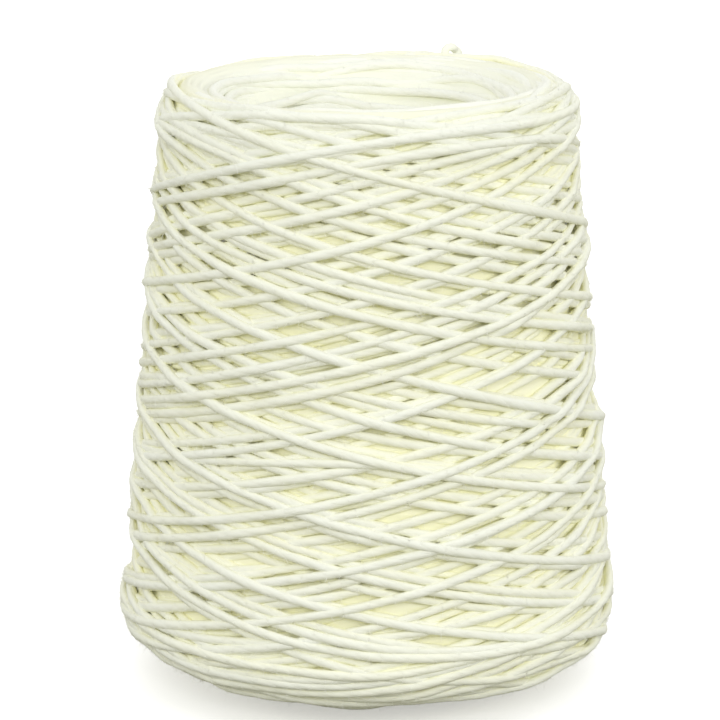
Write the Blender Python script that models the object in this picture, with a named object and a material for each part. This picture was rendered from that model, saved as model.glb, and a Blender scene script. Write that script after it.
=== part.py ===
"""Cross-wound package of soft cream yarn on a tapered paperboard core.

Metres, +Z up. The origin is the centre of the core's base rim, on the surface the
core stands on, and +Z runs along the axis from the base to the nose.
"""
import math

import bmesh
import bpy
from mathutils import Matrix, Vector

# Core: three plies of paper, 4 degrees 20 minutes half angle
CORE_LENGTH = 0.143
CORE_BASE_RADIUS = 0.031            # outside of the cover ply at the base rim
CORE_HALF_ANGLE = math.radians(4.0 + 20.0 / 60.0)
COVER_PLY = 0.0005
WALL_PLY = 0.0018
LINER_PLY = 0.0005
PLY_SETBACK = 0.0012                # cover and liner stop short of the wall's two ends
NOSE_ROUND = 0.0009                 # burnished edge of the wall at the nose
RIM_CHAMFER = 0.0004                # cut edge of the wall at the base

# Yarn package, wound with a 6 inch traverse
YARN_DIAMETER = 0.0023
PACKAGE_FOOT = 0.003                # bare core under the lowest winding
NOSE_RECESS = 0.014                 # the core's nose ends this far under the package's crest
PACKAGE_BASE_RADIUS = 0.064         # widest radius, just above the rounded foot
PACKAGE_TOP_RADIUS = 0.0536         # radius where the top shoulder starts to round over
FOOT_ROUND_AXIAL = 0.0170           # height of the rounded foot
SHOULDER_RADIAL = 0.0085            # width of the rounded shoulder
SHOULDER_AXIAL = 0.0164             # height of the rounded shoulder
DISH_DEPTH = 0.0165                 # the top sinks this far from the crest to the core
FIRST_BUILD = 0.009                 # thickness of the first windings, next to the core
MIDDLE_BUILD = 0.010                # thickness of the middle windings

# Knot at the running end
KNOT_LENGTH = 0.0064
KNOT_WIDTH = 0.0044
KNOT_HEIGHT = 0.0040
KNOT_LIFT = 0.0005                  # the knot's middle stands this much clear of the curving shoulder

# Clearance between pieces that touch
CONTACT_GAP = 0.0003
BORE_GAP = 0.0003                   # between the core's cover ply and the first windings

# Heights and radii that follow from the sizes above
PACKAGE_CREST = CORE_LENGTH + NOSE_RECESS
CREST_RADIUS = PACKAGE_TOP_RADIUS - SHOULDER_RADIAL

# Resolution of the round shapes
TURN_STEPS = 48
ARC_STEPS = 5
DISH_STEPS = 6
CORD_SIDES_RESOLUTION = 2
CORD_POINTS_PER_SPAN = 2

# The running end leaves the windings at the front right, rounds the right shoulder
# and climbs along the back of it to its knot.
RUNNING_END_ROUTE = [
    (0.0397, -0.0358, 0.1505), (0.0437, -0.0305, 0.1508), (0.0472, -0.0248, 0.1509), (0.0499, -0.0187, 0.1508),
    (0.0519, -0.0124, 0.1506), (0.0531, -0.0058, 0.1504), (0.0535, 0.0008, 0.1503), (0.0530, 0.0075, 0.1503),
    (0.0516, 0.0140, 0.1504), (0.0493, 0.0203, 0.1507), (0.0463, 0.0262, 0.1512), (0.0424, 0.0315, 0.1520),
    (0.0378, 0.0363, 0.1529), (0.0327, 0.0403, 0.1537), (0.0272, 0.0436, 0.1545)]


def clear_scene():
    for old in list(bpy.data.objects):
        bpy.data.objects.remove(old, do_unlink=True)


def make_material(name, color, roughness, metallic=0.0):
    material = bpy.data.materials.new(name)
    material.use_nodes = True
    shader = material.node_tree.nodes["Principled BSDF"]
    shader.inputs["Base Color"].default_value = (*color, 1.0)
    shader.inputs["Roughness"].default_value = roughness
    shader.inputs["Metallic"].default_value = metallic
    return material


def link_object(name, data, parent, material):
    thing = bpy.data.objects.new(name, data)
    bpy.context.scene.collection.objects.link(thing)
    thing.parent = parent
    thing.data.materials.append(material)
    return thing


def make_empty(name, parent=None):
    empty = bpy.data.objects.new(name, None)
    bpy.context.scene.collection.objects.link(empty)
    empty.parent = parent
    return empty


def turned_piece(name, profile, parent, material):
    """Turn a closed profile of (radius, height) points about Z.

    The points run down the outer side, in along the foot, up the bore and out
    along the top, so the turned faces look outwards.
    """
    mesh = bpy.data.meshes.new(name)
    points = [(radius, 0.0, height) for radius, height in profile]
    edges = [(i, (i + 1) % len(points)) for i in range(len(points))]
    mesh.from_pydata(points, edges, [])
    piece = link_object(name, mesh, parent, material)
    screw = piece.modifiers.new("turn", 'SCREW')
    screw.axis = 'Z'
    screw.angle = math.tau
    screw.steps = TURN_STEPS
    screw.render_steps = TURN_STEPS
    screw.use_merge_vertices = True
    screw.merge_threshold = 0.00005
    screw.use_smooth_shade = True
    return piece


def core_radius(height, depth=0.0):
    """Radius of the core's cone at a height, a given depth under the cover's outside."""
    slant = depth / math.cos(CORE_HALF_ANGLE)
    return CORE_BASE_RADIUS - height * math.tan(CORE_HALF_ANGLE) - slant


def ply_profile(outer_depth, inner_depth, low, high):
    return [
        (core_radius(high, outer_depth), high),
        (core_radius(low, outer_depth), low),
        (core_radius(low, inner_depth), low),
        (core_radius(high, inner_depth), high),
    ]


def wall_profile(outer_depth, inner_depth):
    """The board wall: a flat base rim with small chamfers, and a burnished nose."""
    low_out = core_radius(0.0, outer_depth)
    low_in = core_radius(0.0, inner_depth)
    shoulder = CORE_LENGTH - NOSE_ROUND
    mid_radius = core_radius(shoulder, 0.5 * (outer_depth + inner_depth))
    half_wall = 0.5 * (core_radius(shoulder, outer_depth) - core_radius(shoulder, inner_depth))
    nose = []
    for step in range(ARC_STEPS + 1):
        angle = math.pi - math.pi * step / ARC_STEPS
        nose.append((mid_radius + half_wall * math.cos(angle), shoulder + NOSE_ROUND * math.sin(angle)))
    foot = [
        (core_radius(RIM_CHAMFER, outer_depth), RIM_CHAMFER),
        (low_out - RIM_CHAMFER, 0.0),
        (low_in + RIM_CHAMFER, 0.0),
        (core_radius(RIM_CHAMFER, inner_depth), RIM_CHAMFER),
    ]
    return foot + nose


def foot_height(radius):
    """Height of the package's rounded underside at a radius."""
    start = CORE_BASE_RADIUS
    share = min(max((radius - start) / (PACKAGE_BASE_RADIUS - start), 0.0), 1.0)
    return PACKAGE_FOOT + FOOT_ROUND_AXIAL * (1.0 - math.sqrt(1.0 - share * share))


def top_height(radius):
    """Height of the package's top at a radius: the rounded shoulder, then the dish."""
    if radius >= CREST_RADIUS:
        share = min((radius - CREST_RADIUS) / SHOULDER_RADIAL, 1.0)
        return PACKAGE_CREST - SHOULDER_AXIAL * (1.0 - math.sqrt(1.0 - share * share))
    middle = core_radius(PACKAGE_CREST - DISH_DEPTH)
    share = min((CREST_RADIUS - radius) / (CREST_RADIUS - middle), 1.0)
    return PACKAGE_CREST - DISH_DEPTH * 0.5 * (1.0 - math.cos(math.pi * share))


def spread(low, high, steps):
    return [low + (high - low) * step / steps for step in range(steps + 1)]


def winding_profile(bore_base, bore_top, outer_base, outer_top):
    """A layer of windings between two cones, from the rounded foot to the dished top."""
    top = [(radius, top_height(radius)) for radius in spread(bore_top, outer_top, DISH_STEPS)]
    foot = [(radius, foot_height(radius)) for radius in spread(outer_base, bore_base, ARC_STEPS)]
    return foot + top


def outer_winding_profile(bore_base, bore_top):
    """The outer windings: their outside is the package's rounded foot, side and shoulder."""
    shoulder_start = 0.0
    if bore_top < CREST_RADIUS:
        top = [(radius, top_height(radius)) for radius in spread(bore_top, CREST_RADIUS, DISH_STEPS - 2)]
    else:
        shoulder_start = math.asin((bore_top - CREST_RADIUS) / SHOULDER_RADIAL)
        top = [(bore_top, top_height(bore_top))]
    for angle in spread(shoulder_start, 0.5 * math.pi, ARC_STEPS + 1)[1:]:
        top.append((CREST_RADIUS + SHOULDER_RADIAL * math.sin(angle),
                    PACKAGE_CREST - SHOULDER_AXIAL * (1.0 - math.cos(angle))))
    foot = []
    foot_width = PACKAGE_BASE_RADIUS - CORE_BASE_RADIUS
    foot_start = math.asin((bore_base - CORE_BASE_RADIUS) / foot_width)
    for angle in spread(0.5 * math.pi, foot_start, ARC_STEPS + 2):
        radius = CORE_BASE_RADIUS + foot_width * math.sin(angle)
        foot.append((radius, foot_height(radius)))
    return foot + top


def smooth_route(points, per_span):
    """Points along a Catmull-Rom curve through the route's own points."""
    padded = [points[0]] + list(points) + [points[-1]]
    route = []
    for i in range(len(points) - 1):
        a, b, c, d = padded[i:i + 4]
        for step in range(per_span):
            t = step / per_span
            route.append(tuple(
                0.5 * (2 * b[k] + (c[k] - a[k]) * t
                       + (2 * a[k] - 5 * b[k] + 4 * c[k] - d[k]) * t * t
                       + (3 * b[k] - a[k] - 3 * c[k] + d[k]) * t ** 3)
                for k in range(3)))
    route.append(points[-1])
    return route


def cord_tube(name, route, parent, material):
    curve = bpy.data.curves.new(name, 'CURVE')
    curve.dimensions = '3D'
    curve.bevel_depth = 0.5 * YARN_DIAMETER
    curve.bevel_resolution = CORD_SIDES_RESOLUTION
    curve.use_fill_caps = True
    points = smooth_route(route, CORD_POINTS_PER_SPAN)
    spline = curve.splines.new('POLY')
    spline.points.add(len(points) - 1)
    for target, point in zip(spline.points, points):
        target.co = (*point, 1.0)
    return link_object(name, curve, parent, material)


def shoulder_normal(point):
    """The direction straight out of the package's shoulder at a point near it."""
    radius = math.hypot(point[0], point[1])
    outward = (radius - CREST_RADIUS) / SHOULDER_RADIAL ** 2
    upward = (point[2] - PACKAGE_CREST + SHOULDER_AXIAL) / SHOULDER_AXIAL ** 2
    return Vector((outward * point[0] / radius, outward * point[1] / radius, upward)).normalized()


def end_knot(parent, material):
    """A tight overhand knot's outer shape, on the shoulder at the running end's tip."""
    last = Vector(RUNNING_END_ROUTE[-1])
    along = (last - Vector(RUNNING_END_ROUTE[-2])).normalized()
    outward = shoulder_normal(last)
    across = outward.cross(along).normalized()
    reach = 0.5 * KNOT_LENGTH + CONTACT_GAP
    rise = 0.5 * (KNOT_HEIGHT - YARN_DIAMETER) + KNOT_LIFT
    mesh = bpy.data.meshes.new("end_knot")
    build = bmesh.new()
    bmesh.ops.create_icosphere(build, subdivisions=2, radius=0.5)
    bmesh.ops.scale(build, vec=(KNOT_LENGTH, KNOT_WIDTH, KNOT_HEIGHT), verts=build.verts)
    build.to_mesh(mesh)
    build.free()
    mesh.shade_smooth()
    knot = link_object("end_knot", mesh, parent, material)
    turn = Matrix((along, across, along.cross(across))).transposed()
    knot.matrix_world = Matrix.Translation(last + along * reach + outward * rise) @ turn.to_4x4()
    return knot


def build_core(parent):
    board = make_material("core_board", (0.43, 0.35, 0.24), 0.85)
    cover = make_material("core_cover_paper", (0.74, 0.70, 0.60), 0.7)
    liner = make_material("core_liner_paper", (0.50, 0.41, 0.29), 0.9)
    wall_outer = COVER_PLY + CONTACT_GAP
    wall_inner = wall_outer + WALL_PLY
    liner_outer = wall_inner + CONTACT_GAP
    low = PLY_SETBACK
    high = CORE_LENGTH - PLY_SETBACK
    turned_piece("core_wall", wall_profile(wall_outer, wall_inner), parent, board)
    turned_piece("core_cover", ply_profile(0.0, COVER_PLY, low, high), parent, cover)
    turned_piece("core_liner", ply_profile(liner_outer, liner_outer + LINER_PLY, low, high), parent, liner)


def build_package(parent):
    first = make_material("yarn_first", (0.80, 0.76, 0.60), 0.95)
    middle = make_material("yarn_middle", (0.83, 0.80, 0.66), 0.95)
    outer = make_material("yarn_outer", (0.88, 0.86, 0.74), 0.95)
    end = make_material("yarn_end", (0.90, 0.88, 0.77), 0.95)

    bore_base = core_radius(PACKAGE_FOOT) + BORE_GAP
    bore_top = core_radius(PACKAGE_CREST - DISH_DEPTH) + BORE_GAP
    first_base = bore_base + FIRST_BUILD
    first_top = bore_top + FIRST_BUILD
    middle_base = first_base + CONTACT_GAP + MIDDLE_BUILD
    middle_top = first_top + CONTACT_GAP + MIDDLE_BUILD

    turned_piece("winding_first",
                 winding_profile(bore_base, bore_top, first_base, first_top), parent, first)
    turned_piece("winding_middle",
                 winding_profile(first_base + CONTACT_GAP, first_top + CONTACT_GAP,
                                 middle_base, middle_top), parent, middle)
    turned_piece("winding_outer",
                 outer_winding_profile(middle_base + CONTACT_GAP, middle_top + CONTACT_GAP),
                 parent, outer)
    cord_tube("running_end", RUNNING_END_ROUTE, parent, end)
    end_knot(parent, end)


clear_scene()
core = make_empty("core")
package = make_empty("package", core)
build_core(core)
build_package(package)
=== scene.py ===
import math

import bpy
import numpy as np
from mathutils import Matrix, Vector


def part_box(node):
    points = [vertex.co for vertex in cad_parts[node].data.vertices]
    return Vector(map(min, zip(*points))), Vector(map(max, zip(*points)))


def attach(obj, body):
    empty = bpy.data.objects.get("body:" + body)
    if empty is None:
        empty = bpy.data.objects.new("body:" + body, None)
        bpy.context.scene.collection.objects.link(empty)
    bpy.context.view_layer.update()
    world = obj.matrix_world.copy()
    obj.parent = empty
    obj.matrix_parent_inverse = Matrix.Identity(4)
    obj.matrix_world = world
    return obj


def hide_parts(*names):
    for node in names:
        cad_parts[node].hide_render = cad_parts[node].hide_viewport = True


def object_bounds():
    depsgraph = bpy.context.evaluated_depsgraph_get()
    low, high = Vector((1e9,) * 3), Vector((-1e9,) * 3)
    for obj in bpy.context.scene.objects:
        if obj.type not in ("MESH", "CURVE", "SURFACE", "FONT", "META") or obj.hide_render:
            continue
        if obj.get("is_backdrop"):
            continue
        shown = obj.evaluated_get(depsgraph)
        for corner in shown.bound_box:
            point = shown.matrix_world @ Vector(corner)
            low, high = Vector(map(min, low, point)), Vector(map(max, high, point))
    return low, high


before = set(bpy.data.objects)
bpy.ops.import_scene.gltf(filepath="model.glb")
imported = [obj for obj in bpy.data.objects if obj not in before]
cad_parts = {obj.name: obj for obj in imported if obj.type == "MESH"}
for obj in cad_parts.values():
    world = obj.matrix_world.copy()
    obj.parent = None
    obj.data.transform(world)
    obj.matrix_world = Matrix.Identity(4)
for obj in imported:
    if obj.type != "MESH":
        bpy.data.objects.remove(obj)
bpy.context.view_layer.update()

scene = bpy.context.scene

# studio
studio = {
    "cameraDistance": 0.8576,      # from the middle of the package
    "cameraTilt": 14.14,           # degrees above the horizon
    "lens": 165.9,
    "shift": (-0.0107, 0.0141),
    "aimHeight": 0.0801,
    "worldStrength": 0.80,
    "worldColor": (1.0, 1.0, 0.995),
    "floorColor": (0.98, 0.98, 0.98),
    "floorBounce": (0.20, 0.195, 0.13),
    "floorGlow": 0.40,
    "glowBounce": (0.16, 0.155, 0.10),
    "floorHalf": 6.0,
    "floorSteps": 12,
    "lights": {                    # place, height aimed at, width across, watts
        "overheadLight": ((0.10, 0.05, 0.95), 0.10, 0.5, 0.2),
        "frontLight": ((-0.05, -1.35, 0.72), 0.08, 0.6, 4.7),
        "rightFill": ((0.90, -0.65, 0.45), 0.08, 0.6, 3.3),
        "leftFill": ((-0.95, -0.45, 0.40), 0.08, 0.6, 1.9),
        "backFill": ((0.10, 1.20, 0.45), 0.08, 0.6, 2.2),
    },
}


def newMaterial(name, values):
    # a Principled material, its constants set by socket name
    material = bpy.data.materials.new(name)
    material.use_nodes = True
    tree = material.node_tree
    shader = tree.nodes["Principled BSDF"].inputs
    for label, value in values.items():
        shader[label].default_value = value
    return material, tree, shader


def placed(name, data):
    thing = bpy.data.objects.new(name, data)
    scene.collection.objects.link(thing)
    return thing


def makeCamera():
    tilt = math.radians(studio["cameraTilt"])
    aim = Vector((0.0, 0.0, studio["aimHeight"]))
    back = Vector((0.0, -math.cos(tilt), math.sin(tilt)))
    cameraData = bpy.data.cameras.new("studioCamera")
    cameraData.lens = studio["lens"]
    cameraData.sensor_width = 36.0
    cameraData.shift_x, cameraData.shift_y = studio["shift"]
    cameraData.clip_start = 0.01
    camera = placed("studioCamera", cameraData)
    camera.location = aim + back * studio["cameraDistance"]
    camera.rotation_euler = (-back).to_track_quat("-Z", "Y").to_euler()
    scene.camera = camera


def softLight(name, location, aimHeight, size, energy):
    lightData = bpy.data.lights.new(name, "AREA")
    lightData.shape = "DISK"
    lightData.size = size
    lightData.energy = energy
    light = placed(name, lightData)
    light.location = location
    aim = Vector((0.0, 0.0, aimHeight)) - Vector(location)
    light.rotation_euler = aim.to_track_quat("-Z", "Y").to_euler()


def mixSeen(tree, bounced, seen, socket):
    # one colour for the light that it throws, another as the camera sees it
    rays = tree.nodes.new("ShaderNodeLightPath")
    mix = tree.nodes.new("ShaderNodeMix")
    mix.data_type = "RGBA"
    mix.inputs["A"].default_value = (*bounced, 1.0)
    mix.inputs["B"].default_value = (*seen, 1.0)
    tree.links.new(rays.outputs["Is Camera Ray"], mix.inputs["Factor"])
    tree.links.new(mix.outputs["Result"], socket)


def makeStudio():
    scene.view_settings.view_transform = "Standard"
    scene.cycles.diffuse_bounces = 8
    world = bpy.data.worlds.new("studioWorld")
    world.use_nodes = True
    sky = world.node_tree.nodes["Background"]
    seenWhite = 1.0 / studio["worldStrength"]
    mixSeen(world.node_tree, studio["worldColor"], (seenWhite, seenWhite, seenWhite), sky.inputs["Color"])
    sky.inputs["Strength"].default_value = studio["worldStrength"]
    scene.world = world
    for name, values in studio["lights"].items():
        softLight(name, *values)


def makeFloor():
    half, steps = studio["floorHalf"], studio["floorSteps"]
    corners = []
    faces = []
    for row in range(steps + 1):
        for column in range(steps + 1):
            corners.append((half * (2 * column / steps - 1), half * (2 * row / steps - 1), 0.0))
    for row in range(steps):
        for column in range(steps):
            first = row * (steps + 1) + column
            faces.append((first, first + 1, first + steps + 2, first + steps + 1))
    mesh = bpy.data.meshes.new("studioFloor")
    mesh.from_pydata(corners, [], faces)
    floor = placed("studioFloor", mesh)
    material, tree, shader = newMaterial("palePaint", {
        "Roughness": 0.9, "Emission Strength": studio["floorGlow"]})
    # seen white, but it throws less light back up under the yarn
    mixSeen(tree, studio["floorBounce"], studio["floorColor"], shader["Base Color"])
    mixSeen(tree, studio["glowBounce"], (1.0, 1.0, 1.0), shader["Emission Color"])
    mesh.materials.append(material)
    floor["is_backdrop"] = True


makeCamera()
makeStudio()
makeFloor()
print("studio ready")


# shader groups
def newGroup(name, inputs, outputs):
    group = bpy.data.node_groups.new(name, "ShaderNodeTree")
    for label, value in inputs.items():
        kind = "NodeSocketFloat" if isinstance(value, float) else "NodeSocketColor"
        socket = group.interface.new_socket(label, in_out="INPUT", socket_type=kind)
        socket.default_value = value
    for label, kind in outputs.items():
        group.interface.new_socket(label, in_out="OUTPUT", socket_type=kind)
    start = group.nodes.new("NodeGroupInput")
    end = group.nodes.new("NodeGroupOutput")
    return group, start.outputs, end.inputs


def feed(tree, socket, value):
    # a link where the value is another node's output, else a constant on the socket itself
    if hasattr(value, "is_output"):
        tree.links.new(value, socket)
    else:
        socket.default_value = value


def addGroup(tree, group, values):
    node = tree.nodes.new("ShaderNodeGroup")
    node.node_tree = group
    for label, value in values.items():
        feed(tree, node.inputs[label], value)
    return node.outputs


def addMath(tree, operation, *values):
    node = tree.nodes.new("ShaderNodeMath")
    node.operation = operation
    for socket, value in zip(node.inputs, values):
        feed(tree, socket, value)
    return node.outputs[0]


def addMix(tree, factor, first, second):
    node = tree.nodes.new("ShaderNodeMix")
    node.data_type = "RGBA"
    for label, value in (("Factor", factor), ("A", first), ("B", second)):
        feed(tree, node.inputs[label], value)
    return node.outputs["Result"]


def addNoise(tree, vector, scale, detail, roughness):
    node = tree.nodes.new("ShaderNodeTexNoise")
    values = {"Vector": vector, "Scale": scale, "Detail": detail, "Roughness": roughness}
    for label, value in values.items():
        feed(tree, node.inputs[label], value)
    return node.outputs["Fac"]


def addVector(tree, *values):
    node = tree.nodes.new("ShaderNodeCombineXYZ")
    for socket, value in zip(node.inputs, values):
        feed(tree, socket, value)
    return node.outputs[0]


def addBump(tree, shader, height, strength, distance):
    bump = tree.nodes.new("ShaderNodeBump")
    for label, value in (("Height", height), ("Strength", strength), ("Distance", distance)):
        feed(tree, bump.inputs[label], value)
    tree.links.new(bump.outputs["Normal"], shader["Normal"])


def makeSpunFibres():
    # height of the twisted plies and of the fibres along them, from the strand's own UV
    group, given, made = newGroup(
        "spunFibres", {"Plies": 3.0, "Twists Per Metre": 60.0, "Ply Depth": 0.6, "Fibre Depth": 0.4},
        {"Height": "NodeSocketFloat", "Fibre": "NodeSocketFloat"})
    uv = group.nodes.new("ShaderNodeUVMap")
    uv.uv_map = "strand"
    split = group.nodes.new("ShaderNodeSeparateXYZ")
    group.links.new(uv.outputs["UV"], split.inputs[0])
    turn = addMath(group, "MULTIPLY", split.outputs["Y"], given["Twists Per Metre"])
    phase = addMath(group, "ADD", split.outputs["X"], turn)
    angle = addMath(group, "MULTIPLY", addMath(group, "MULTIPLY", phase, given["Plies"]), math.tau)
    wave = addMath(group, "COSINE", addMath(group, "MULTIPLY", angle, 0.5))
    ply = addMath(group, "POWER", addMath(group, "ABSOLUTE", wave), 0.6)
    across = addMath(group, "MULTIPLY", phase, 26.0)
    along = addMath(group, "MULTIPLY", split.outputs["Y"], 320.0)
    fibre = addNoise(group, addVector(group, across, along), 1.0, 4.0, 0.65)
    height = addMath(group, "ADD", addMath(group, "MULTIPLY", ply, given["Ply Depth"]),
                     addMath(group, "MULTIPLY", fibre, given["Fibre Depth"]))
    group.links.new(height, made["Height"])
    group.links.new(fibre, made["Fibre"])
    return group


def makeYarnTint():
    # cream on top, with painted shade: warmer and deeper down the strands' flanks and in the gaps between
    # strands; tone, fibre streaks and patches vary it at random
    group, given, made = newGroup(
        "yarnTintAndShade",
        {"Light": (0.9, 0.9, 0.8, 1.0), "Gap Shade": (0.8, 0.78, 0.55, 1.0), "Shade": (0.75, 0.74, 0.6, 1.0),
         "Fibre": 0.5, "Shade Reach": 1.0},
        {"Color": "NodeSocketColor"})
    depth = group.nodes.new("ShaderNodeAttribute")
    depth.attribute_name = "depth"
    tone = group.nodes.new("ShaderNodeAttribute")
    tone.attribute_name = "tone"
    patches = group.nodes.new("ShaderNodeTexCoord")
    cloud = addNoise(group, patches.outputs["Object"], 90.0, 3.0, 0.6)
    lift = addMath(group, "MULTIPLY_ADD", given["Fibre"], -0.35, 0.17)
    cloudLift = addMath(group, "MULTIPLY_ADD", cloud, 0.35, -0.17)
    # the painted shade's share, from the depth attribute: down a strand's flank and into the package
    share = addMath(group, "MULTIPLY", depth.outputs["Fac"], given["Shade Reach"])
    toned = addMath(group, "MULTIPLY_ADD", tone.outputs["Fac"], 0.22, share)
    total = addMath(group, "ADD", addMath(group, "ADD", toned, lift), cloudLift)
    clamp = group.nodes.new("ShaderNodeClamp")
    group.links.new(total, clamp.inputs["Value"])
    cream = addMix(group, clamp.outputs[0], given["Light"], given["Gap Shade"])
    streak = addMath(group, "MULTIPLY", addMath(group, "POWER", given["Fibre"], 2.0), 0.7)
    group.links.new(addMix(group, streak, cream, given["Shade"]), made["Color"])
    return group


spunFibres = makeSpunFibres()
yarnTintAndShade = makeYarnTint()
print("shader groups ready")

yarnLook = {
    "light": (0.87, 0.89, 0.82, 1.0),
    # painted shade: the warmer colour painted down strand flanks and into the gaps
    "gapShade": (0.95, 0.94, 0.685, 1.0),
    # painted light: a paler copy of that shade for the top face, where light falls from above
    "topLitGapShade": (0.92, 0.925, 0.83, 1.0),
    "shade": (0.84, 0.83, 0.66, 1.0),    # the dull side of the fibres
    "plies": 3.0,
    "twistsPerMetre": 55.0,
    "plyDepth": 0.55,
    "fibreDepth": 0.6,
    "roughness": 0.92,
    "bumpStrength": 0.55,
    "bumpDistance": 0.0003,
}


def yarnMaterial(name, gapShade):
    material, tree, shader = newMaterial(name, {
        "Roughness": yarnLook["roughness"], "Specular IOR Level": 0.2, "Sheen Weight": 0.2,
        "Sheen Roughness": 0.55, "Sheen Tint": (1.0, 1.0, 0.95, 1.0)})
    spun = addGroup(tree, spunFibres, {
        "Plies": yarnLook["plies"], "Twists Per Metre": yarnLook["twistsPerMetre"],
        "Ply Depth": yarnLook["plyDepth"], "Fibre Depth": yarnLook["fibreDepth"]})
    tint = addGroup(tree, yarnTintAndShade, {
        "Light": yarnLook["light"], "Gap Shade": gapShade, "Shade": yarnLook["shade"],
        "Fibre": spun["Fibre"], "Shade Reach": 1.0})
    tree.links.new(tint["Color"], shader["Base Color"])
    addBump(tree, shader, spun["Height"], yarnLook["bumpStrength"], yarnLook["bumpDistance"])
    return material


# lit and shaded copies of one yarn: the top face's strands take the paler painted shade
strandYarn = yarnMaterial("strandYarn", yarnLook["gapShade"])
topLitYarn = yarnMaterial("topLitYarn", yarnLook["topLitGapShade"])

# the package's outline: from the core's foot, out round the foot, up the side, over
# the shoulder and down the dish to the core's nose
packageForm = {
    "footRise": 0.0170,
    "topRadius": 0.0536,
    "shoulderWidth": 0.0085,
    "shoulderDrop": 0.0164,
    "dishDepth": 0.0165,
    "step": 0.0005,                # along the outline
    "sideDepth": 0.0062,           # how far down the separate strands go
    "topDepth": 0.0042,
    "footDepth": 0.0048,
    "coreClearance": 0.0006,
    "bedRise": 0.0032,             # the lowest strands lie half sunk in the wound body
    "endFade": 0.010,              # the strands thin out over this length at either end
    "coreGap": 0.0001,
    "coreTaper": 4.0 + 20.0 / 60.0,    # degrees
}
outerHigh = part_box("winding_outer")[1]
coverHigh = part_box("core_cover")[1]
coreFootRadius = coverHigh.x + packageForm["coreGap"]
coreSlope = math.tan(math.radians(packageForm["coreTaper"]))


def packageOutline():
    form = packageForm
    baseRadius, crest = outerHigh.x, outerHigh.z
    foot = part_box("winding_first")[0].z
    crestRadius = form["topRadius"] - form["shoulderWidth"]
    quarter = np.linspace(0.0, math.pi / 2, 60)
    radius = [coreFootRadius + (baseRadius - coreFootRadius) * np.sin(quarter)]
    height = [foot + form["footRise"] * (1.0 - np.cos(quarter))]
    rise = np.linspace(0.0, 1.0, 60)[1:]
    sideFoot, sideTop = foot + form["footRise"], crest - form["shoulderDrop"]
    radius.append(baseRadius + (form["topRadius"] - baseRadius) * rise)
    height.append(sideFoot + (sideTop - sideFoot) * rise)
    over = quarter[::-1][1:]
    radius.append(crestRadius + form["shoulderWidth"] * np.sin(over))
    height.append(crest - form["shoulderDrop"] * (1.0 - np.cos(over)))
    inner = coreFootRadius - (crest - form["dishDepth"]) * coreSlope
    sink = np.linspace(0.0, 1.0, 40)[1:]
    radius.append(crestRadius + (inner - crestRadius) * sink)
    height.append(crest - form["dishDepth"] * 0.5 * (1.0 - np.cos(math.pi * sink)))
    radius, height = np.concatenate(radius), np.concatenate(height)
    run = np.concatenate([[0.0], np.cumsum(np.hypot(np.diff(radius), np.diff(height)))])
    count = int(run[-1] / form["step"])
    along = np.linspace(0.0, run[-1], count)
    return along, np.interp(along, run, radius), np.interp(along, run, height)


def smoothed(values, sigma):
    reach = int(4 * sigma) + 1
    kernel = np.exp(-0.5 * (np.arange(-reach, reach + 1) / sigma) ** 2)
    kernel /= kernel.sum()
    return np.convolve(np.pad(values, reach, mode="edge"), kernel, mode="valid")


def unit(vectors):
    return vectors / np.linalg.norm(vectors, axis=-1, keepdims=True)


def travelAlong(points):
    return np.concatenate([[0.0], np.cumsum(np.linalg.norm(np.diff(points, axis=0), axis=1))])


def roundAxis(angle, radius, height):
    return np.stack(np.broadcast_arrays(radius * np.cos(angle), radius * np.sin(angle), height), axis=1)


outlineRun, outerRadius, outerHeight = packageOutline()
slopeR = np.gradient(outerRadius, outlineRun)
slopeZ = np.gradient(outerHeight, outlineRun)
normalR, normalZ = smoothed(slopeZ, 6), smoothed(-slopeR, 6)
normalSize = np.hypot(normalR, normalZ)
normalR, normalZ = normalR / normalSize, normalZ / normalSize
endFade = np.clip(np.minimum(outlineRun, outlineRun[-1] - outlineRun) / packageForm["endFade"], 0.0, 1.0)
sideStart = int(np.argmax(outerRadius))
crestIndex = int(np.argmax(outerHeight))
depthPlaces = [0.0, outlineRun[sideStart] - 0.012, outlineRun[sideStart] + 0.006,
               outlineRun[crestIndex] - 0.020, outlineRun[crestIndex], outlineRun[-1]]
depthValues = [packageForm[key] for key in ("footDepth", "sideDepth", "topDepth") for _ in range(2)]
laidDepth = smoothed(np.interp(outlineRun, depthPlaces, depthValues), 8) * (0.35 + 0.65 * endFade)
bedRadius = outerRadius - normalR * laidDepth
bedHeight = outerHeight - normalZ * laidDepth
print("outline", round(outlineRun[-1] * 1000, 1), "mm from core to core")


def bedPoint(angle, run):
    return roundAxis(angle, np.interp(run, outlineRun, bedRadius), np.interp(run, outlineRun, bedHeight))


def bedNormal(angle, run):
    return unit(roundAxis(angle, np.interp(run, outlineRun, normalR), np.interp(run, outlineRun, normalZ)))


def runAtHeight(height):
    return np.interp(height, outerHeight[:crestIndex + 1], outlineRun[:crestIndex + 1])


# the yarn and how it is wound
yarn = {
    "radius": 0.00115,
    "sides": 10,
    "ringSpacing": 0.0020,
    "crossingSquash": 0.30,        # soft strands sink into each other where they cross
    "leastCurve": 75.0,            # and the tension pulls them down between the high spots
    "sampleStep": 0.0010,
    "wander": 0.0007,
    "flatten": 0.05,               # how much wider than high
    "thickThin": 0.07,
    "thickRange": (0.84, 1.16),
    "endTaper": 0.8,
    "lobes": 0.035,                # how far the plies stand out of the strand
    "endLobes": 0.045,             # and where the running end lies free
    "flankShadeTint": 1.15,            # painted shade: the tint deepens down the flank of a strand,
    "shadeDepthReach": 0.0060,          # and down into the package
}
cells = {"around": 760, "along": len(outlineRun)}
fieldTop = np.zeros((cells["along"], cells["around"]))
rng = np.random.default_rng(27)


def fieldIndex(angle, run):
    column = np.round(angle / math.tau * cells["around"]).astype(int) % cells["around"]
    row = np.clip(np.round(run / packageForm["step"]).astype(int), 0, cells["along"] - 1)
    return row, column


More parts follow.
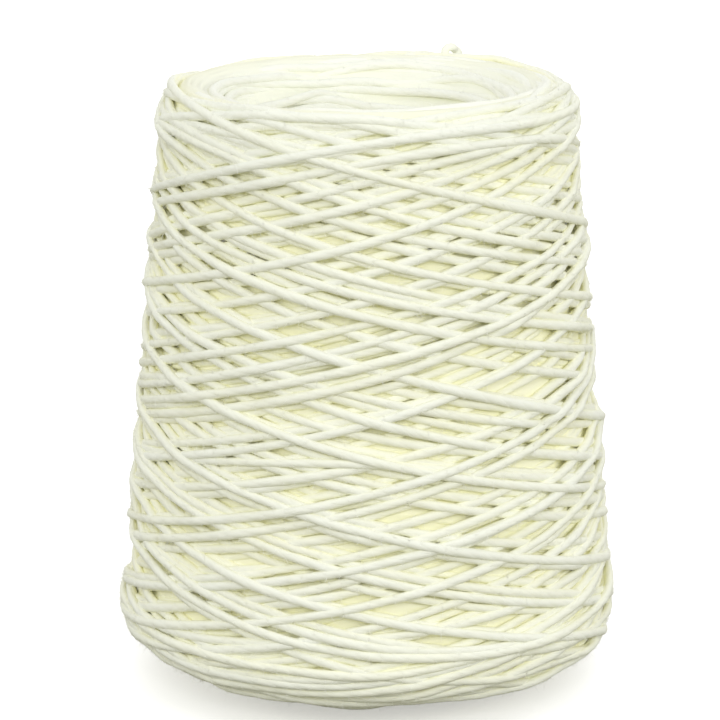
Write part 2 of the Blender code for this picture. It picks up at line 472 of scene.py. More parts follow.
def supportUnder(angle, run):
    # height of the centre line when the strand just rests on what is laid already
    rest = np.full(len(angle), 0.3 * yarn["radius"])
    for share in (-0.9, -0.6, -0.3, 0.0, 0.3, 0.6, 0.9):
        row, column = fieldIndex(angle, run + share * yarn["radius"])
        lift = yarn["crossingSquash"] * yarn["radius"] * math.sqrt(1.0 - share * share)
        rest = np.maximum(rest, fieldTop[row, column] + lift)
    return rest


def summed(travel, values):
    return np.concatenate([[0.0], np.cumsum(np.diff(travel) * 0.5 * (values[1:] + values[:-1]))])


def tautOver(travel, support, curving):
    # a strand under tension runs straight between the high spots of a curving surface
    drop = summed(travel, summed(travel, curving))
    level = support - drop
    held = [0]
    for i in range(1, len(travel)):
        while len(held) > 1:
            a, b = held[-2], held[-1]
            before = (level[b] - level[a]) * (travel[i] - travel[b])
            if before > (level[i] - level[b]) * (travel[b] - travel[a]):
                break
            held.pop()
        held.append(i)
    return np.interp(travel, travel[held], level[held]) + drop


def recordTop(angle, run, centreHeight):
    fine = np.linspace(0, len(angle) - 1, 2 * len(angle) - 1)
    index = np.arange(len(angle))
    angleFine, runFine = np.interp(fine, index, angle), np.interp(fine, index, run)
    heightFine = np.interp(fine, index, centreHeight)
    for share in np.linspace(-0.95, 0.95, 8):
        row, column = fieldIndex(angleFine, runFine + share * yarn["radius"])
        top = heightFine + yarn["radius"] * math.sqrt(1.0 - share * share)
        np.maximum.at(fieldTop, (row, column), top)


def layStretch(angle, run, startHeight=None):
    # lays one stretch of strand and returns the height of its centre line over the bed
    points, normals = bedPoint(angle, run), bedNormal(angle, run)
    travel = travelAlong(points)
    speed = np.gradient(travel)[:, None]
    heading = np.gradient(points, axis=0) / speed
    turning = -np.einsum("ij,ij->i", np.gradient(heading, axis=0) / speed, normals)
    curving = np.maximum(smoothed(turning, 4), yarn["leastCurve"])
    support = supportUnder(angle, run)
    if startHeight is not None:
        support[0] = startHeight
    centreHeight = tautOver(travel, support, curving)
    centreHeight = np.maximum(smoothed(centreHeight, 2.0), support - 0.25 * yarn["radius"])
    return smoothed(centreHeight, 1.2)


def windPath(knots):
    # (angle, height) knots to an even path with rounded turns
    angles, heights = np.array(knots).T
    step = yarn["sampleStep"] / winding["sideRadius"]
    angle = np.arange(angles[0], angles[-1], step)
    height = np.interp(angle, angles, heights)
    return angle, smoothed(height, winding["rounding"] / step)


def softNoise(count, size, sigma, spare=0):
    soft = smoothed(rng.standard_normal(count + spare)[:count], sigma)
    return size * soft / max(np.std(soft), 1e-9)


def wanderAlong(count, size, sigma):
    return softNoise(count, size, sigma, 8)


strands = []     # every stretch: angle, run, centre height, piece it belongs to


def layAll(angle, run, piece, chunk=260, lag=14):
    # lays a long path chunk by chunk, each chunk resting on all that lies under it
    start = 0
    before = None
    waiting = None
    while start < len(angle) - 1:
        end = min(start + chunk, len(angle))
        if len(angle) - end < chunk // 3:
            end = len(angle)
        part = slice(start, end)
        centreHeight = layStretch(angle[part], run[part], before)
        if before is not None:
            centreHeight[0] = before
        if waiting is not None:
            recordTop(*waiting)
        keep = max(1, end - start - lag)
        recordTop(angle[part][:keep], run[part][:keep], centreHeight[:keep])
        waiting = None
        if keep < end - start:
            waiting = (angle[part][keep:], run[part][keep:], centreHeight[keep:])
        strands.append((piece, angle[part], run[part], centreHeight))
        before = centreHeight[-1]
        start = end - 1
    if waiting is not None:
        recordTop(*waiting)


# the strokes: up and down the package, 1.5 turns or so each
winding = {
    "risePerRadian": 0.0143,
    "riseSpread": 0.0016,
    "topTurn": (0.1465, 0.1555),   # heights where strokes turn back at the shoulder
    "footTurn": (0.0085, 0.0225),
    "dwell": (0.75, 1.55),         # radians run along the rim at each turn
    "rounding": 0.33,
    "innerStrokes": 116,
    "strokesPerPiece": 16,
    "tries": 36,                   # chance turns that each inner stroke picks from
    "startAngle": 0.4,
    "startHeight": 0.012,
    "sideRadius": 0.060,           # used to step evenly along the strand
    "faceRadius": 0.036,
    "faceSways": (0.0027, 0.0021),     # one layer on each face for each
    "topFaceTurns": 13.3,
    "footFaceTurns": 15.4,
    "topRim": 0.1500,
    "footRim": 0.0180,
    "coreMargin": 0.0022,
    "footMargin": 0.0030,
}

# how much yarn lies where, to keep the package even
loadGrid = {"rows": 42, "columns": 96, "rowHeight": 0.004, "angleStep": 0.05}
strandLoad = np.zeros((loadGrid["rows"], loadGrid["columns"]))


def loadCells(knots):
    angles, heights = np.array(knots).T
    angle = np.arange(angles[0], angles[-1], loadGrid["angleStep"])
    height = np.interp(angle, angles, heights)
    column = np.floor(angle / math.tau * loadGrid["columns"]).astype(int) % loadGrid["columns"]
    row = np.clip((height / loadGrid["rowHeight"]).astype(int), 1, loadGrid["rows"] - 2)
    return row, column


def addLoad(knots):
    row, column = loadCells(knots)
    for shift, share in ((-1, 0.5), (0, 1.0), (1, 0.5)):
        np.add.at(strandLoad, (row + shift, column), share)


def innerStrokes():
    # knots of the under strokes: of many chance turns, each takes the one through the thinnest part
    knots = []
    breaks = []
    angle, height = winding["startAngle"], winding["startHeight"]
    for stroke in range(winding["innerStrokes"]):
        rising = stroke % 2 == 0
        tries = []
        for _ in range(winding["tries"]):
            target = rng.uniform(*(winding["topTurn"] if rising else winding["footTurn"]))
            rate = winding["risePerRadian"] + rng.uniform(-1, 1) * winding["riseSpread"]
            dwell = rng.uniform(*winding["dwell"])
            start = (angle + dwell, height)
            end = (angle + dwell + abs(target - height) / rate, target)
            row, column = loadCells([start, end])
            tries.append((strandLoad[row, column].mean(), start, end))
        start, end = min(tries)[1:]
        addLoad([start, end])
        knots += [start, end]
        if stroke % winding["strokesPerPiece"] == winding["strokesPerPiece"] - 1:
            breaks.append(end[0] + 0.3)
        angle, height = end
    return knots, breaks


# where the last strokes pass the front, in mm, one number to a turn round the package
frontPasses = [
    ("down", 75), ("up", 31, 118), ("down", 115, 27), ("up", 81), ("down", 133, 45),
    ("up", 49, 139), ("down", 81), ("up", 12, 100), ("down", 128, 43), ("up", 46, 134),
    ("down", 94), ("up", 15, 105), ("down", 112, 25), ("up", 92), ("down", 120.5, 33),
    ("up", 60, 145), ("down", 72), ("up", 38, 125), ("down", 108, 22), ("up", 95),
    ("down", 141.5, 54), ("up", 64, 149.2),
]


def lastStrokes(firstPass):
    # knots through the front passes, with a turn at the rim between one stroke and the next
    knots = []
    turnAngle = firstPass
    for stroke, (way, *passes) in enumerate(frontPasses):
        for height in passes:
            knots.append((turnAngle, height / 1000.0))
            turnAngle += math.tau
        if stroke + 1 == len(frontPasses):
            break
        before, after = passes[-1] / 1000.0, frontPasses[stroke + 1][1] / 1000.0
        low, high = winding["topTurn"] if way == "up" else winding["footTurn"]
        dwell = rng.uniform(*winding["dwell"])
        reach = winding["risePerRadian"] * (math.tau - dwell)
        turn = (before + after + (reach if way == "up" else -reach)) / 2
        turn = min(max(turn, low), high)
        there, back = abs(turn - before), abs(turn - after)
        share = (math.tau - dwell) / (there + back)
        knots.append((turnAngle - math.tau + there * share, turn))
        knots.append((turnAngle - back * share, turn))
    return knots


windingEndTurn = 48.0              # degrees from the front, where the wound yarn ends
runningEnd = {
    "startAngle": math.radians(windingEndTurn - 90.0),
    "endAngle": math.radians(148.0 - 90.0),
    # heights where it lies on the shoulder, from the front right round to the back
    "heights": [0.1500, 0.1503, 0.1504, 0.1503, 0.1501, 0.1499, 0.1498, 0.1498,
                0.1499, 0.1502, 0.1507, 0.1514, 0.1522, 0.1530, 0.1537],
    "diameter": 0.0023,
    "samples": 95,
    "settling": 14.0,              # samples over which it leaves the wound strand's course
    "lead": 4,                     # samples that it starts inside the wound strand's end
    "spacing": 0.0011,
}


def faceWinding(fromRun, toRun, turns, startAngle, sway):
    # round and round between the core and the rim, swaying in and out
    angle = np.arange(startAngle, startAngle + turns * math.tau, yarn["sampleStep"] / winding["faceRadius"])
    share = (angle - angle[0]) / (angle[-1] - angle[0])
    run = fromRun + (toRun - fromRun) * share
    slow = wanderAlong(len(angle), 1.0, 18)
    fade = np.clip(6 * share, 0, 1) * np.clip(6 * (1 - share), 0, 1)
    run = run + sway * np.sin(angle * 1.63 + 1.1 * slow) * fade
    return angle, np.clip(run, min(fromRun, toRun), max(fromRun, toRun))


def windPackage():
    coreRunTop = outlineRun[-1] - winding["coreMargin"]
    rimRunTop, rimRunFoot = runAtHeight(winding["topRim"]), runAtHeight(winding["footRim"])
    for sway in winding["faceSways"]:
        angle, run = faceWinding(coreRunTop, rimRunTop, winding["topFaceTurns"], rng.uniform(0, 6), sway)
        layAll(angle, run, "topFaceStrand")
        start = rng.uniform(0, 6)
        angle, run = faceWinding(winding["footMargin"], rimRunFoot, winding["footFaceTurns"], start, sway)
        layAll(angle, run, "footFaceStrand")
    ending = lastStrokes(-math.pi / 2)
    addLoad(ending)
    knots, breaks = innerStrokes()
    innerEnd = knots[-1][0]
    turns = math.ceil((innerEnd + 2.6 + math.pi / 2) / math.tau)
    ending = [(angle + turns * math.tau, height) for angle, height in ending]
    last = ending[-1]
    endAngle = last[0] + math.radians(windingEndTurn)
    shoulder = [(last[0] + math.radians(25.0), 0.1503), (endAngle, 0.1500), (endAngle + 0.6, 0.1503)]
    breaks.append((innerEnd + ending[0][0]) / 2)
    angle, height = windPath(knots + ending + shoulder)
    run = runAtHeight(height) + wanderAlong(len(angle), yarn["wander"], 45)
    upToEnd = angle <= endAngle
    angle, run = angle[upToEnd], run[upToEnd]
    edges = [angle[0]] + breaks + [angle[-1] + 1.0]
    for number, (low, high) in enumerate(zip(edges[:-1], edges[1:])):
        inside = (angle >= low) & (angle < high)
        layAll(angle[inside], run[inside], "sideStrands%d" % (number + 1))


windPackage()
laidLength = {}
for piece, angle, run, centreHeight in strands:
    laidLength[piece] = laidLength.get(piece, 0.0) + travelAlong(bedPoint(angle, run))[-1]
print("wound", round(sum(laidLength.values()), 1), "m of strand in", len(laidLength), "pieces")


def levelling():
    # how much to press the pile so that its top follows the package's outline, place by place
    blockRows, blockColumns = 12, 19
    rows, columns = cells["along"] // blockRows, cells["around"] // blockColumns
    blocks = fieldTop[:rows * blockRows].reshape(rows, blockRows, columns, blockColumns)
    high = np.percentile(blocks, 93, axis=(1, 3))
    high = np.maximum(high, 0.3 * np.median(high))
    for _ in range(2):
        sides = (np.roll(high, 1, axis=1) + np.roll(high, -1, axis=1) + 2 * high) / 4
        padded = np.pad(sides, ((1, 1), (0, 0)), mode="edge")
        high = (padded[:-2] + padded[2:] + 2 * sides) / 4
    centre = (np.arange(rows) + 0.5) * blockRows
    wanted = np.interp(centre, np.arange(cells["along"]), laidDepth)
    scale = wanted[:, None] / high
    for label, part in (("foot", scale[1:4]), ("side", scale[8:-10]), ("top", scale[-6:-1])):
        print(label, "pile pressed to", round(float(part.mean()), 2), "of its height, from",
              round(float(part.min()), 2), "to", round(float(part.max()), 2))
    return scale, blockRows, blockColumns


def pressAt(angle, run, levels):
    scale, blockRows, blockColumns = levels
    rows, columns = scale.shape
    row = np.clip(run / packageForm["step"] / blockRows - 0.5, 0, rows - 1.001)
    column = (angle / math.tau * columns - 0.5) % columns
    lowRow, lowColumn = row.astype(int), column.astype(int) % columns
    nextColumn = (lowColumn + 1) % columns
    rowShare, columnShare = row - lowRow, column - np.floor(column)
    near = scale[lowRow, lowColumn] * (1 - columnShare) + scale[lowRow, nextColumn] * columnShare
    far = scale[lowRow + 1, lowColumn] * (1 - columnShare) + scale[lowRow + 1, nextColumn] * columnShare
    return near * (1 - rowShare) + far * rowShare


levels = levelling()


def centreLine(angle, run, centreHeight):
    pressed = centreHeight * pressAt(angle, run, levels)
    return bedPoint(angle, run) + bedNormal(angle, run) * pressed[:, None], pressed


def joinStretches(piece):
    # a piece's stretches follow each other unless a gap shows that a new strand starts
    chains = []
    for name, angle, run, centreHeight in strands:
        if name != piece:
            continue
        points, pressed = centreLine(angle, run, centreHeight)
        under = np.interp(run, outlineRun, laidDepth) - pressed
        stretch = np.column_stack([points, bedNormal(angle, run), under])
        if chains and np.linalg.norm(chains[-1][-1, :3] - points[0]) < 0.0015:
            chains[-1] = np.concatenate([chains[-1], stretch[1:]])
        else:
            chains.append(stretch)
    return chains


def evenLine(line, spacing, least):
    # the line in even samples; its first three columns are the places
    travel = travelAlong(line[:, :3])
    even = np.linspace(0.0, travel[-1], max(least, int(round(travel[-1] / spacing)) + 1))
    return even, np.stack([np.interp(even, travel, column) for column in line.T], axis=1)


def tubeRings(line, lift, radii, travel, sides):
    heading = unit(np.gradient(line, axis=0))
    across = unit(np.cross(heading, lift))
    outward = np.cross(across, heading)
    turn = np.arange(sides) / sides * math.tau
    twist = math.tau * yarnLook["twistsPerMetre"]
    size = radii[:, None] * (1.0 + yarn["lobes"] * np.cos(3.0 * (turn[None, :] + travel[:, None] * twist)))
    wide = size * np.cos(turn) * (1.0 + yarn["flatten"])
    high = size * np.sin(turn) * (1.0 - yarn["flatten"])
    return line[:, None, :] + across[:, None, :] * wide[..., None] + outward[:, None, :] * high[..., None]


def tubeSkin(travel, sides, base=0, turned=False):
    # faces and UV of a closed tube: quads between its rings, then a fan round each tip
    count = len(travel)
    place, beside = np.arange(sides), (np.arange(sides) + 1) % sides
    ring = base + np.arange(count - 1)[:, None] * sides
    quads = np.stack([ring + place, ring + sides + place, ring + sides + beside, ring + beside], axis=-1)
    lastRing = base + (count - 1) * sides
    tip = np.full(sides, base + count * sides)
    caps = np.stack([base + place, base + beside, tip,
                     lastRing + beside, lastRing + place, tip + 1], axis=-1)
    near, far = (np.broadcast_to(ends[:, None], (count - 1, sides)) for ends in (travel[:-1], travel[1:]))
    left = np.broadcast_to(place / sides, (count - 1, sides))
    right = left + 1 / sides
    quadUv = np.stack([left, near, left, far, right, far, right, near], axis=-1)
    start, end = np.full(sides, travel[0]), np.full(sides, travel[-1])
    capUv = np.stack([left[0], start, right[0], start, left[0], start - 0.001,
                      right[0], end, left[0], end, left[0], end + 0.001], axis=-1)
    quadOrder, capOrder = ([0, 3, 2, 1], [1, 0, 2]) if turned else ([0, 1, 2, 3], [0, 1, 2])
    faces = [quads.reshape(-1, 4)[:, quadOrder], caps.reshape(-1, 3)[:, capOrder]]
    uv = [quadUv.reshape(-1, 4, 2)[:, quadOrder], capUv.reshape(-1, 3, 2)[:, capOrder]]
    return faces, [block.reshape(-1, 2) for block in uv]


def buildTubes(name, chains, material, spacing, sides):
    # one closed tube per chain, with the strand's own UV, its tone and its depth for the painted shade
    allPoints, allFaces, allUv, tones, depths = [], [], [], [], []
    base = 0
    travelStart = 0.0
    for chain in chains:
        travel, line = evenLine(chain, spacing, 4)
        line, lift, under = line[:, :3], line[:, 3:6], line[:, 6]
        count = len(line)
        thickness = 1.0 + softNoise(count, yarn["thickThin"], 3.0)
        radii = yarn["radius"] * np.clip(thickness, *yarn["thickRange"])
        radii[[0, -1]] *= yarn["endTaper"]
        rings = tubeRings(line, lift, radii, travel, sides)
        tips = np.stack([line[0] - (line[1] - line[0]) * 0.3, line[-1] + (line[-1] - line[-2]) * 0.3])
        allPoints += [rings.reshape(-1, 3), tips]
        tone = 0.5 + softNoise(count, 0.25, 60.0)
        tones += [np.repeat(np.clip(tone, 0, 1), sides), [0.5, 0.5]]
        # painted shade: the depth attribute grows down a ring's underside and with how far the strand lies
        # below the outline
        ringLift = np.einsum("ijk,ik->ij", rings - line[:, None, :], lift)
        flank = 0.5 - 0.5 * ringLift / yarn["radius"]
        depth = yarn["flankShadeTint"] * flank + (under[:, None] - yarn["radius"]) / yarn["shadeDepthReach"]
        depths += [depth.reshape(-1), [0.5, 0.5]]
        faces, uv = tubeSkin(travelStart + travel, sides, base)
        allFaces += faces
        allUv += uv
        base += count * sides + 2
        travelStart += travel[-1]
    depth = np.clip(np.concatenate(depths), 0.0, 1.0)
    return buildMesh(name, allPoints, allFaces, material, allUv, np.concatenate(tones), depth)


def buildMesh(name, pointBlocks, faceBlocks, material, uvBlocks=None, tone=None, depth=None):
    points = np.concatenate(pointBlocks).astype(np.float32)
    loops = np.concatenate([block.reshape(-1) for block in faceBlocks]).astype(np.int32)
    sizes = np.concatenate([np.full(len(block), block.shape[1]) for block in faceBlocks])
    starts = np.concatenate([[0], np.cumsum(sizes)[:-1]]).astype(np.int32)
    mesh = bpy.data.meshes.new(name)
    mesh.vertices.add(len(points))
    mesh.vertices.foreach_set("co", points.reshape(-1))
    mesh.loops.add(len(loops))
    mesh.loops.foreach_set("vertex_index", loops)
    mesh.polygons.add(len(sizes))
    mesh.polygons.foreach_set("loop_start", starts)
    mesh.update(calc_edges=True)
    mesh.validate()
    mesh.shade_smooth()
    if uvBlocks is not None:
        layer = mesh.uv_layers.new(name="strand")
        layer.data.foreach_set("uv", np.concatenate(uvBlocks).astype(np.float32).reshape(-1))
    for label, values in (("tone", tone), ("depth", depth)):
        if values is not None:
            attribute = mesh.attributes.new(label, "FLOAT", "POINT")
            attribute.data.foreach_set("value", np.asarray(values, np.float32))
    mesh.materials.append(material)
    return placed(name, mesh)


def rideOn(thing, body, slotName, *nodes):
    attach(thing, body)
    if nodes:
        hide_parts(*nodes)


ringSpacing = yarn["ringSpacing"]
for piece in sorted(laidLength):
    look = topLitYarn if piece == "topFaceStrand" else strandYarn
    tubes = buildTubes(piece, joinStretches(piece), look, ringSpacing, yarn["sides"])
    rideOn(tubes, "package", "yarn_outer", "winding_outer")
print("strand pieces built")

# the wound body under the separate strands
wovenBed = {
    "around": 300,
    "along": 290,
    "ridge": 0.0007,
    "pitch": 0.0023,
    "depth": 0.62,                 # painted shade, as in the gaps between strands, but painted paler in the dish where light falls on the top
    "dishLitPaling": 0.8,
    "dishSink": 0.30,              # and lower there
    "boreRows": 40,
    "boreGap": 0.0004,
}


def ringGrid(rows, columns):
    # quads between rings, of which the last meets the first again
    row, column = np.arange(rows)[:, None] * columns, np.arange(columns)[None, :]
    following, beside = (row + columns) % (rows * columns), (column + 1) % columns
    quads = [row + column, row + beside, following + beside, following + column]
    return np.stack(quads, axis=-1).reshape(-1, 4)


def buildBed():
    rows, columns = wovenBed["along"], wovenBed["around"]
    run = np.linspace(0.0, outlineRun[-1], rows)
    turn = np.arange(columns) / columns * math.tau
    runGrid, turnGrid = np.meshgrid(run, turn, indexing="ij")
    rising = np.abs(np.sin(runGrid / wovenBed["pitch"] * math.pi - 3.0 * turnGrid))
    falling = np.abs(np.sin(runGrid / wovenBed["pitch"] * math.pi + 4.0 * turnGrid))
    relief = wovenBed["ridge"] * (np.maximum(rising, falling) - 1.0)
    inDish = np.clip((runGrid - outlineRun[crestIndex]) / 0.010 + 0.5, 0.0, 1.0)
    lift = packageForm["bedRise"] * (1.0 - wovenBed["dishSink"] * inDish)
    rise = (relief + lift * np.interp(runGrid, outlineRun, endFade)).reshape(-1)
    turnFlat, runFlat = turnGrid.reshape(-1), runGrid.reshape(-1)
    points = bedPoint(turnFlat, runFlat) + bedNormal(turnFlat, runFlat) * rise[:, None]
    radius = np.hypot(points[:, 0], points[:, 1])
    floor = coreFootRadius - points[:, 2] * coreSlope + packageForm["coreClearance"]
    points[:, :2] *= np.maximum(floor / radius, 1.0)[:, None]
    # the bore closes the body between its upper and its lower end
    upper, lower = points[-columns:, 2], points[:columns, 2]
    bore = []
    for share in np.linspace(0.0, 1.0, wovenBed["boreRows"] + 1)[:-1]:
        height = (upper * (1 - share) + lower * share).mean()
        bore.append(roundAxis(turn, coreFootRadius - height * coreSlope + wovenBed["boreGap"], height))
    points = np.concatenate([points] + bore)
    depth = np.full(len(points), wovenBed["depth"])
    # painted light: the dish part of the bed takes less of the painted shade
    depth[:rows * columns] *= 1.0 - wovenBed["dishLitPaling"] * inDish.reshape(-1)
    quads = ringGrid(rows + wovenBed["boreRows"], columns)
    return buildMesh("bedWindings", [points], [quads], bedYarn, None, np.full(len(points), 0.5), depth)


# the bed carries the painted gap shade all over
bedYarn, bedTree, bedShader = newMaterial("bedYarn", {"Roughness": 0.95, "Specular IOR Level": 0.1})
bedTint = addGroup(bedTree, yarnTintAndShade, {
    "Light": yarnLook["light"], "Gap Shade": yarnLook["gapShade"], "Fibre": 0.5, "Shade Reach": 1.0})
bedTree.links.new(bedTint["Color"], bedShader["Base Color"])
bed = buildBed()
rideOn(bed, "package", "yarn_inner", "winding_first", "winding_middle")
print("bed built")


# the running end: the last of the yarn, free of the windings, up to its knot
def runningEndLine():
    heights = np.array(runningEnd["heights"])
    share = np.linspace(0.0, 1.0, len(heights))
    count = runningEnd["samples"]
    even = np.linspace(0.0, 1.0, count)
    angle = runningEnd["startAngle"] + (runningEnd["endAngle"] - runningEnd["startAngle"]) * even
    run = smoothed(runAtHeight(np.interp(even, share, heights)), 5)
    lastStretch = strands[-1]
    startHeight = lastStretch[3][-1]
    run = run + (lastStretch[2][-1] - run[0]) * np.exp(-np.arange(count) / runningEnd["settling"])
    centreHeight = layStretch(angle, run, startHeight)
    centreHeight[0] = startHeight
    # it starts inside the last few millimetres of the wound strand, so no seam shows
    lead = slice(-1 - runningEnd["lead"], -1)
    leadAngle, leadRun, leadHeight = (values[lead] for values in lastStretch[1:])
    angle, run = np.concatenate([leadAngle % math.tau - math.tau, angle]), np.concatenate([leadRun, run])
    points = centreLine(angle, run, np.concatenate([leadHeight, centreHeight]))[0]
    return points, bedNormal(angle, run)


endLine, endNormals = runningEndLine()


# an overhand knot drawn tight: the strand's line is relaxed against itself
endKnot = {
    "strandRadius": 0.00092,       # how close the soft yarn packs in the knot
    "tail": 0.008,
    "rise": 0.0011,                # how far its middle stands off the strand's own line
    "squash": 0.62,                # pulled down flat on the shoulder
    "relaxing": 500,
    "spacing": 0.0004,
    "thinning": 0.97,
}


def tightKnot():
    radius = endKnot["strandRadius"]
    t = np.linspace(-2.18, 2.18, 96)
    line = np.stack([(t ** 5 - 10 * t) / 9.0, t ** 3 - 3 * t, t ** 4 - 4 * t ** 2 + 2.0], axis=1)
    line *= radius * 1.6
    rest = radius * 0.42
    index = np.arange(len(line))
    apart = np.abs(index[:, None] - index[None, :]) > 5
    for _ in range(endKnot["relaxing"]):
        gap = line[:, None, :] - line[None, :, :]
        distance = np.linalg.norm(gap, axis=2) + 1e-12
        push = np.where(apart & (distance < 2.0 * radius), 2.0 * radius - distance, 0.0)
        line = line + 0.16 * (gap / distance[..., None] * push[..., None]).sum(axis=1)
        line[1:-1] += 0.24 * (line[:-2] + line[2:] - 2 * line[1:-1])
        for _ in range(4):
            step = np.diff(line, axis=0)
            length = np.linalg.norm(step, axis=1)
            fix = (step / length[:, None]) * (0.5 * (length - rest))[:, None]
            line[:-1] += fix
            line[1:] -= fix
        line[0, 1:] *= 0.9
        line[-1, 1:] *= 0.9
    return line


def looseTube(name, line, radii, up, sides=12):
    # a closed tube with a rolling frame, for the free end and its knot
    heading = unit(np.gradient(line, axis=0))
    travel = travelAlong(line)
    side = unit(np.cross(heading[0], up))
    turn = np.arange(sides) / sides * math.tau
    rings = []
    for i in range(len(line)):
        side = unit(side - heading[i] * (side @ heading[i]))
        lift = np.cross(heading[i], side)
        phase = 3.0 * (turn + travel[i] * math.tau * yarnLook["twistsPerMetre"])
        ring = np.cos(turn)[:, None] * side + np.sin(turn)[:, None] * lift
        rings.append(line[i] + ring * (radii[i] * (1.0 + yarn["endLobes"] * np.cos(phase)))[:, None])
    tips = [line[0] - heading[0] * radii[0] * 0.5, line[-1] + heading[-1] * radii[-1] * 0.5]
    points = np.concatenate(rings + [np.array(tips)])
    faces, uv = tubeSkin(travel, sides, turned=True)
    # the free end lies on top and takes only a little painted shade
    tone, depth = np.full(len(points), 0.45), np.full(len(points), 0.08)
    return buildMesh(name, [points], faces, strandYarn, uv, tone, depth)


def eased(line, times):
    for _ in range(times):
        line[1:-1] = 0.25 * line[:-2] + 0.5 * line[1:-1] + 0.25 * line[2:]
    return line


def buildRunningEnd():
    line = eased(evenLine(endLine, runningEnd["spacing"], 6)[1], 3)
    radii = yarn["radius"] * (1.0 + 0.05 * smoothed(rng.standard_normal(len(line)), 2.0))
    radii[-5:] *= np.linspace(1.0, 0.80, 5)
    cordTube = looseTube("runningEnd", line, radii, endNormals[0])
    # the knot follows on, laid along the shoulder
    along = unit(line[-1] - line[-4])
    across = unit(np.cross(endNormals[-1], along))
    up = np.cross(along, across)
    knot = tightKnot()
    if knot[0, 0] > knot[-1, 0]:
        knot = knot[::-1]
    knot -= knot[0]
    knot = knot[:, :1] * along + knot[:, 1:2] * across + knot[:, 2:] * up * endKnot["squash"]
    bow = np.sin(np.linspace(0.0, math.pi, len(knot)))
    knot = line[-1] + along * 0.0003 + knot + up * (bow * endKnot["rise"])[:, None]
    # its tail leans aside and droops
    length, spacing = endKnot["tail"], endKnot["spacing"]
    reach = np.linspace(0.0, length, int(length / spacing) + 1)[1:]
    droop = -0.9 * reach ** 2 / length
    tail = knot[-1] + along * (reach * 0.86)[:, None] + up * (droop * 0.55)[:, None]
    tail = tail + across * (reach * 0.35)[:, None]
    whole = eased(evenLine(np.concatenate([knot, tail]), spacing, 6)[1], 2)
    knotRadii = np.full(len(whole), yarn["radius"] * endKnot["thinning"])
    knotRadii[-4:] *= np.linspace(1.0, 0.55, 4)
    return cordTube, looseTube("endKnot", whole, knotRadii, up), line


runningEndTube, endKnotTube, runningEndPath = buildRunningEnd()
rideOn(runningEndTube, "package", "yarn_outer", "running_end")
rideOn(endKnotTube, "package", "yarn_outer", "end_knot")

# loose fibres that stand off the strands
nap = {
    "fibres": 36000,
    "length": (0.0010, 0.0034),
    "coreClearance": 0.0055,       # none so near the core that they reach it
    "thickness": 0.000040,         # radius at the root
    "taper": 0.75,
    "shownDepth": 0.0022,          # only strands this near the outline carry them
    "tilt": 1.25,
    "lean": 1.0,
    "spread": 0.6,
    "curl": 0.9,
    "pieces": 3,
    "sides": 3,
    "parts": 3,
    "light": (0.985, 0.985, 0.93, 1.0),    # single fibres let light through and look paler
}


def outerPlaces():
    # places on the outermost strands: centre, outward direction, direction along the strand
    chosen = []
    for piece in sorted(laidLength):
        for chain in joinStretches(piece):
            line = chain[::3]
            heading = unit(np.gradient(line[:, :3], axis=0))
            fromCore = np.hypot(line[:, 0], line[:, 1]) - (coreFootRadius - line[:, 2] * coreSlope)
            shown = (line[:, 6] < nap["shownDepth"]) & (fromCore > nap["coreClearance"])
            chosen.append(np.column_stack([line[shown, :6], heading[shown]]))
    return np.concatenate(chosen)


def napFaces(count, sides, parts):
    # each fibre: rings of three, a tip and a closed root
    each = parts * sides + 1
    faces = []
    for part in range(parts):
        for k in range(sides):
            a, b = part * sides + k, part * sides + (k + 1) % sides
            if part < parts - 1:
                faces += [(a, b, b + sides), (a, b + sides, a + sides)]
            else:
                faces.append((a, b, each - 1))
    faces.append((2, 1, 0))
    return (np.array(faces)[None, :, :] + (np.arange(count) * each)[:, None, None]).reshape(-1, 3)


def buildNap():
    places = outerPlaces()
    sides, parts = nap["sides"], nap["parts"]
    count = nap["fibres"] // nap["pieces"]
    for number in range(nap["pieces"]):
        picked = places[rng.integers(0, len(places), count)]
        root, up, along = picked[:, :3], picked[:, 3:6], picked[:, 6:9]
        across = np.cross(up, along)
        tilt = rng.uniform(-nap["tilt"], nap["tilt"], count)[:, None]
        out = up * np.cos(tilt) + across * np.sin(tilt)
        root = root + out * yarn["radius"] * 0.9
        lean = rng.uniform(-nap["lean"], nap["lean"], count)[:, None]
        start = unit(out * 0.75 + along * lean + across * rng.normal(0, nap["spread"], count)[:, None])
        curl = rng.normal(0, nap["curl"], count)[:, None]
        bend = along * curl - out * rng.uniform(0.0, nap["curl"], count)[:, None]
        length = rng.uniform(*nap["length"], count)[:, None]
        side = np.cross(start, out + 0.01)
        side /= np.linalg.norm(side, axis=1)[:, None] + 1e-12
        other = np.cross(start, side)
        points = []
        for part in range(parts):
            share = part / parts
            centre = root + start * length * share + bend * length * share ** 2 * 0.6
            width = nap["thickness"] * (1.0 - nap["taper"] * share)
            for k in range(sides):
                angle = k / sides * math.tau
                points.append(centre + (side * math.cos(angle) + other * math.sin(angle)) * width)
        points.append(root + start * length + bend * length * 0.6)
        points = np.stack(points, axis=1).reshape(-1, 3)
        fibres = buildMesh("napFibres%d" % (number + 1), [points], [napFaces(count, sides, parts)], napYarn)
        rideOn(fibres, "package", "yarn_outer", "winding_outer")


napYarn, napTree, napShader = newMaterial("napFibre", {"Roughness": 0.85, "Sheen Weight": 0.3})
napTint = addGroup(napTree, yarnTintAndShade, {
    "Light": nap["light"], "Gap Shade": yarnLook["gapShade"], "Shade": nap["light"],
    "Fibre": 0.5, "Shade Reach": 0.0})
napTree.links.new(napTint["Color"], napShader["Base Color"])
buildNap()
print("nap built")

